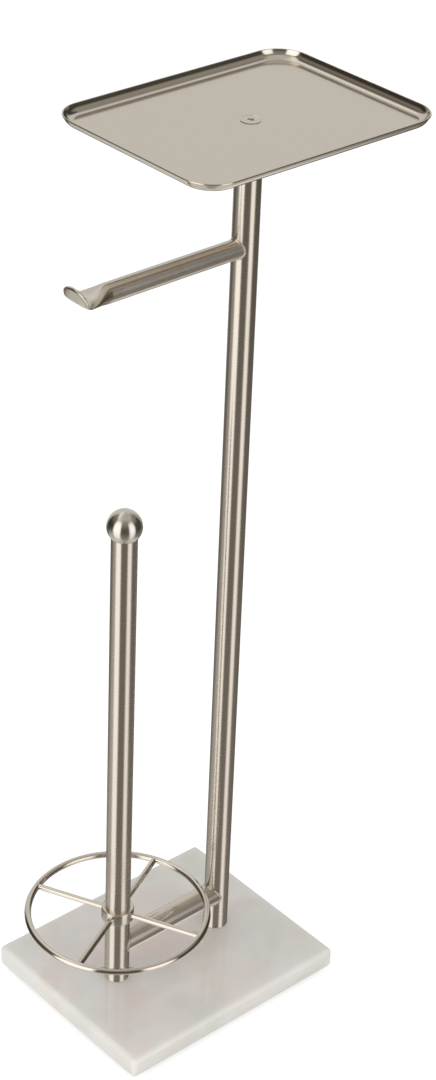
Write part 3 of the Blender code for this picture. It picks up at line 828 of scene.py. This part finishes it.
class Studio:
    """The world: white to the camera, soft light to the object, a room with soft boxes to mirrors."""

    def __init__(self):
        world = bpy.data.worlds.new("studio")
        world.use_nodes = True
        bpy.context.scene.world = world
        self.tree = world.node_tree
        self.tree.nodes.clear()

    def add(self, kind):
        return self.tree.nodes.new(kind)

    def math(self, operation, *inputs):
        node = self.add("ShaderNodeMath")
        node.operation = operation
        for socket, value in zip(node.inputs, inputs):
            if isinstance(value, (int, float)):
                socket.default_value = value
            else:
                self.tree.links.new(value, socket)
        return node.outputs[0]

    def near(self, value, middle, half, soft):
        """1 within half of middle, falling softly to 0; value and middle are angles in degrees."""
        difference = self.math("WRAP", self.math("SUBTRACT", value, middle), 180, -180)
        away = self.math("ABSOLUTE", difference)
        node = self.add("ShaderNodeMapRange")
        node.interpolation_type = "SMOOTHSTEP"
        node.inputs["From Min"].default_value = half - soft / 2
        node.inputs["From Max"].default_value = half + soft / 2
        node.inputs["To Min"].default_value = 1
        node.inputs["To Max"].default_value = 0
        self.tree.links.new(away, node.inputs["Value"])
        return node.outputs["Result"]

    def directions(self):
        """Degrees round the room from the camera, and degrees up, of the direction looked in."""
        direction = self.add("ShaderNodeTexCoord").outputs["Generated"]
        turn = self.add("ShaderNodeVectorRotate")
        turn.rotation_type = "Z_AXIS"
        turn.inputs["Angle"].default_value = -(CAMERA_PAN + math.pi)
        self.tree.links.new(direction, turn.inputs["Vector"])
        parts = self.add("ShaderNodeSeparateXYZ")
        self.tree.links.new(turn.outputs["Vector"], parts.inputs["Vector"])
        degrees = 180 / math.pi
        turned_by = self.math("ARCTAN2", parts.outputs["Y"], parts.outputs["X"])
        round_about = self.math("MULTIPLY", turned_by, degrees)
        height = self.math("MULTIPLY", self.math("ARCSINE", parts.outputs["Z"]), degrees)
        return round_about, height

    def mirrored_room(self, room, layers):
        """The room's colour by direction, each layer painted over the ones before it."""
        round_about, height = self.directions()
        colour = None
        for (middle, half, soft), (middle_up, half_up, soft_up), paint in layers:
            place = self.math("MULTIPLY", self.near(round_about, middle, half, soft),
                              self.near(height, middle_up, half_up, soft_up))
            mix = self.add("ShaderNodeMix")
            mix.data_type = "RGBA"
            before, after = colour_sockets(mix.inputs)
            if colour is None:
                before.default_value = (*room, 1)
            else:
                self.tree.links.new(colour, before)
            after.default_value = (*paint, 1)
            self.tree.links.new(place, mix.inputs["Factor"])
            colour = colour_sockets(mix.outputs)[0]
        return colour

    def build(self, room, layers, fill):
        rays = self.add("ShaderNodeLightPath")
        mirror = self.math("MAXIMUM", rays.outputs["Is Glossy Ray"], rays.outputs["Is Transmission Ray"])
        lit = self.math("ADD", fill, self.math("MULTIPLY", rays.outputs["Is Camera Ray"], 1 - fill))
        mirrored = self.add("ShaderNodeBackground")
        self.tree.links.new(self.mirrored_room(room, layers), mirrored.inputs["Color"])
        plain = self.add("ShaderNodeBackground")
        self.tree.links.new(lit, plain.inputs["Strength"])
        plain.inputs["Color"].default_value = (1, 1, 1, 1)
        shown = self.add("ShaderNodeMixShader")
        self.tree.links.new(mirror, shown.inputs["Fac"])
        self.tree.links.new(plain.outputs["Background"], shown.inputs[1])
        self.tree.links.new(mirrored.outputs["Background"], shown.inputs[2])
        output = self.add("ShaderNodeOutputWorld")
        self.tree.links.new(shown.outputs["Shader"], output.inputs["Surface"])


Studio().build(DARK_ROOM, LAYERS, SOFT_LIGHT)


def lamp(name, place, aim, size, power):
    """A soft area lamp that mirrors don't show."""
    data = bpy.data.lights.new(name, "AREA")
    data.shape = "RECTANGLE"
    data.size, data.size_y = size
    data.energy = power
    item = bpy.data.objects.new(name, data)
    item.location = place
    item.rotation_euler = (Vector(aim) - Vector(place)).to_track_quat("-Z", "Y").to_euler()
    item.visible_glossy = False
    bpy.context.scene.collection.objects.link(item)


lamp("key_left", (-2.2, 0.2, 0.5), (0, 0, 0.1), (1.2, 1.0), 18)
lamp("key_front", (0.4, -2.3, 0.5), (0, 0, 0.1), (1.2, 1.0), 16)

bpy.context.scene.view_settings.view_transform = "Standard"
